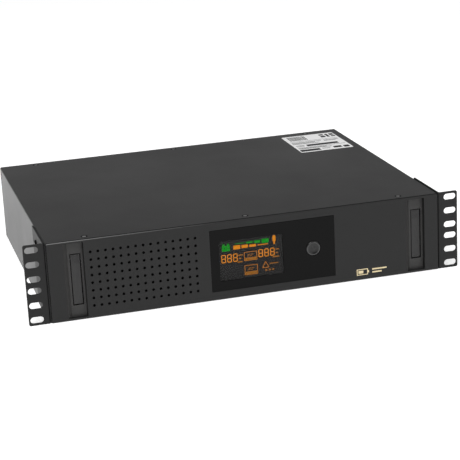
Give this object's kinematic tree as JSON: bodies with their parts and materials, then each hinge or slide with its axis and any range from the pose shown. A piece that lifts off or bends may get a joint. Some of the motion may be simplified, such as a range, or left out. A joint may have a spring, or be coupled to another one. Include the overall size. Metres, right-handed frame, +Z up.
{
  "type": "rack-mount uninterruptible power supply",
  "caption": "Rack-mount uninterruptible power supply: slotted rack ears, vented front bezel with display, power button and release latches, and sockets and a fan at the rear.",
  "frame": {"origin": "middle of the chassis's underside, the face it rests on, under the middle of the chassis's depth", "axes": "+X to the right of a person facing the front, +Y to the rear, +Z up"},
  "size_m": [0.4826, 0.3523, 0.0881],
  "materials": {
    "powder_coat": "fine-textured dark grey powder coat",
    "zinc_steel": "zinc-plated sheet",
    "black_screws": "black zinc",
    "plated_screws": "bright zinc",
    "bezel_plastic": "fine spark-eroded texture",
    "latch_plastic": "fine spark-eroded texture",
    "window_plastic": "smoked gloss",
    "button_plastic": "satin",
    "spring_steel": "bright",
    "filter_foam": "open-cell foam",
    "lcd_glass": "dark display glass",
    "frame_plastic": "white",
    "board_green": "solder mask",
    "switch_plastic": "plain",
    "battery_case": "moulded",
    "terminal_tin": "tinned",
    "core_steel": "varnished laminations",
    "coil_tape": "copper winding under yellow tape",
    "brass_post": "turned",
    "insulator": "sheet",
    "sink_alloy": "extruded",
    "chip_plastic": "moulded",
    "capacitor_can": "sleeved can",
    "relay_plastic": "blue",
    "choke_core": "copper wire on a ferrite ring",
    "block_plastic": "green",
    "fuse_glass": "clear",
    "fan_plastic": "moulded",
    "motor_steel": "wound stator",
    "socket_plastic": "moulded",
    "brass_pin": "plated",
    "reset_plastic": "red",
    "port_metal": "shielded socket",
    "label_paper": "printed",
    "lead_red": "silicone",
    "lead_black": "silicone"
  },
  "bodies": {
    "chassis": {"base_tray": "powder_coat", "top_cover": "powder_coat", "front_bulkhead": "zinc_steel", "rack_ear_left": "powder_coat", "rack_ear_right": "powder_coat", "ear_screws": "black_screws", "cover_screws": "black_screws", "side_screws": "black_screws", "tact_switch": "switch_plastic", "lcd_panel": "lcd_glass", "lcd_frame": "frame_plastic", "display_board": "board_green", "battery_front": "battery_case", "battery_rear": "battery_case", "battery_terminals": "terminal_tin", "battery_pads": "filter_foam", "battery_clamps": "zinc_steel", "transformer_core": "core_steel", "transformer_coil": "coil_tape", "transformer_bracket": "zinc_steel", "bracket_screws": "plated_screws", "main_board": "board_green", "insulation_sheet": "insulator", "board_standoffs": "brass_post", "board_screws": "plated_screws", "heat_sink_front": "sink_alloy", "heat_sink_rear": "sink_alloy", "power_transistors": "chip_plastic", "capacitors": "capacitor_can", "relays": "relay_plastic", "choke": "choke_core", "terminal_block": "block_plastic", "fuses": "fuse_glass", "fan_housing": "fan_plastic", "fan_motor": "motor_steel", "rear_screws": "plated_screws", "mains_inlet": "socket_plastic", "inlet_pins": "brass_pin", "outlet_sockets": "socket_plastic", "breaker_body": "socket_plastic", "earth_stud": "brass_pin", "card_cover": "powder_coat", "port_sockets": "port_metal", "port_board": "board_green", "rating_label": "label_paper", "battery_link_lead": "lead_black", "battery_lead_red": "lead_red", "battery_lead_black": "lead_black", "display_cable": "lead_black"},
    "bezel": {"front_bezel": "bezel_plastic", "display_window": "window_plastic", "dust_filter": "filter_foam", "latch_pins": "plated_screws", "latch_springs": "spring_steel", "button_spring": "spring_steel"},
    "button": {"power_button": "button_plastic"},
    "latch_left": {"latch_lever_left": "latch_plastic"},
    "latch_right": {"latch_lever_right": "latch_plastic"},
    "fan": {"fan_rotor": "fan_plastic"},
    "reset": {"breaker_reset": "reset_plastic"}
  },
  "joints": [
    {"name": "bezel_pull", "type": "slide", "parent": "chassis", "child": "bezel", "axis": [0, -1, 0], "range_m": [0, 0.045]},
    {"name": "power_button_press", "type": "slide", "parent": "bezel", "child": "button", "axis": [0, 1, 0], "range_m": [0, 0.0011], "stiffness_N_per_m": 400, "deforming": ["button_spring"]},
    {"name": "latch_left_press", "type": "hinge", "parent": "bezel", "child": "latch_left", "pos_m": [-0.1873, -0.16, 0.022], "axis": [-1, 0, 0], "range_deg": [0, 6], "stiffness_Nm_per_rad": 0.2},
    {"name": "latch_right_press", "type": "hinge", "parent": "bezel", "child": "latch_right", "pos_m": [0.1927, -0.16, 0.022], "axis": [-1, 0, 0], "range_deg": [0, 6], "stiffness_Nm_per_rad": 0.2},
    {"name": "fan_spin", "type": "hinge", "parent": "chassis", "child": "fan", "pos_m": [-0.166, 0.155, 0.0415], "axis": [0, 1, 0], "continuous": true},
    {"name": "breaker_reset_slide", "type": "slide", "parent": "chassis", "child": "reset", "axis": [0, 1, 0], "range_m": [0, 0.002]}
  ]
}
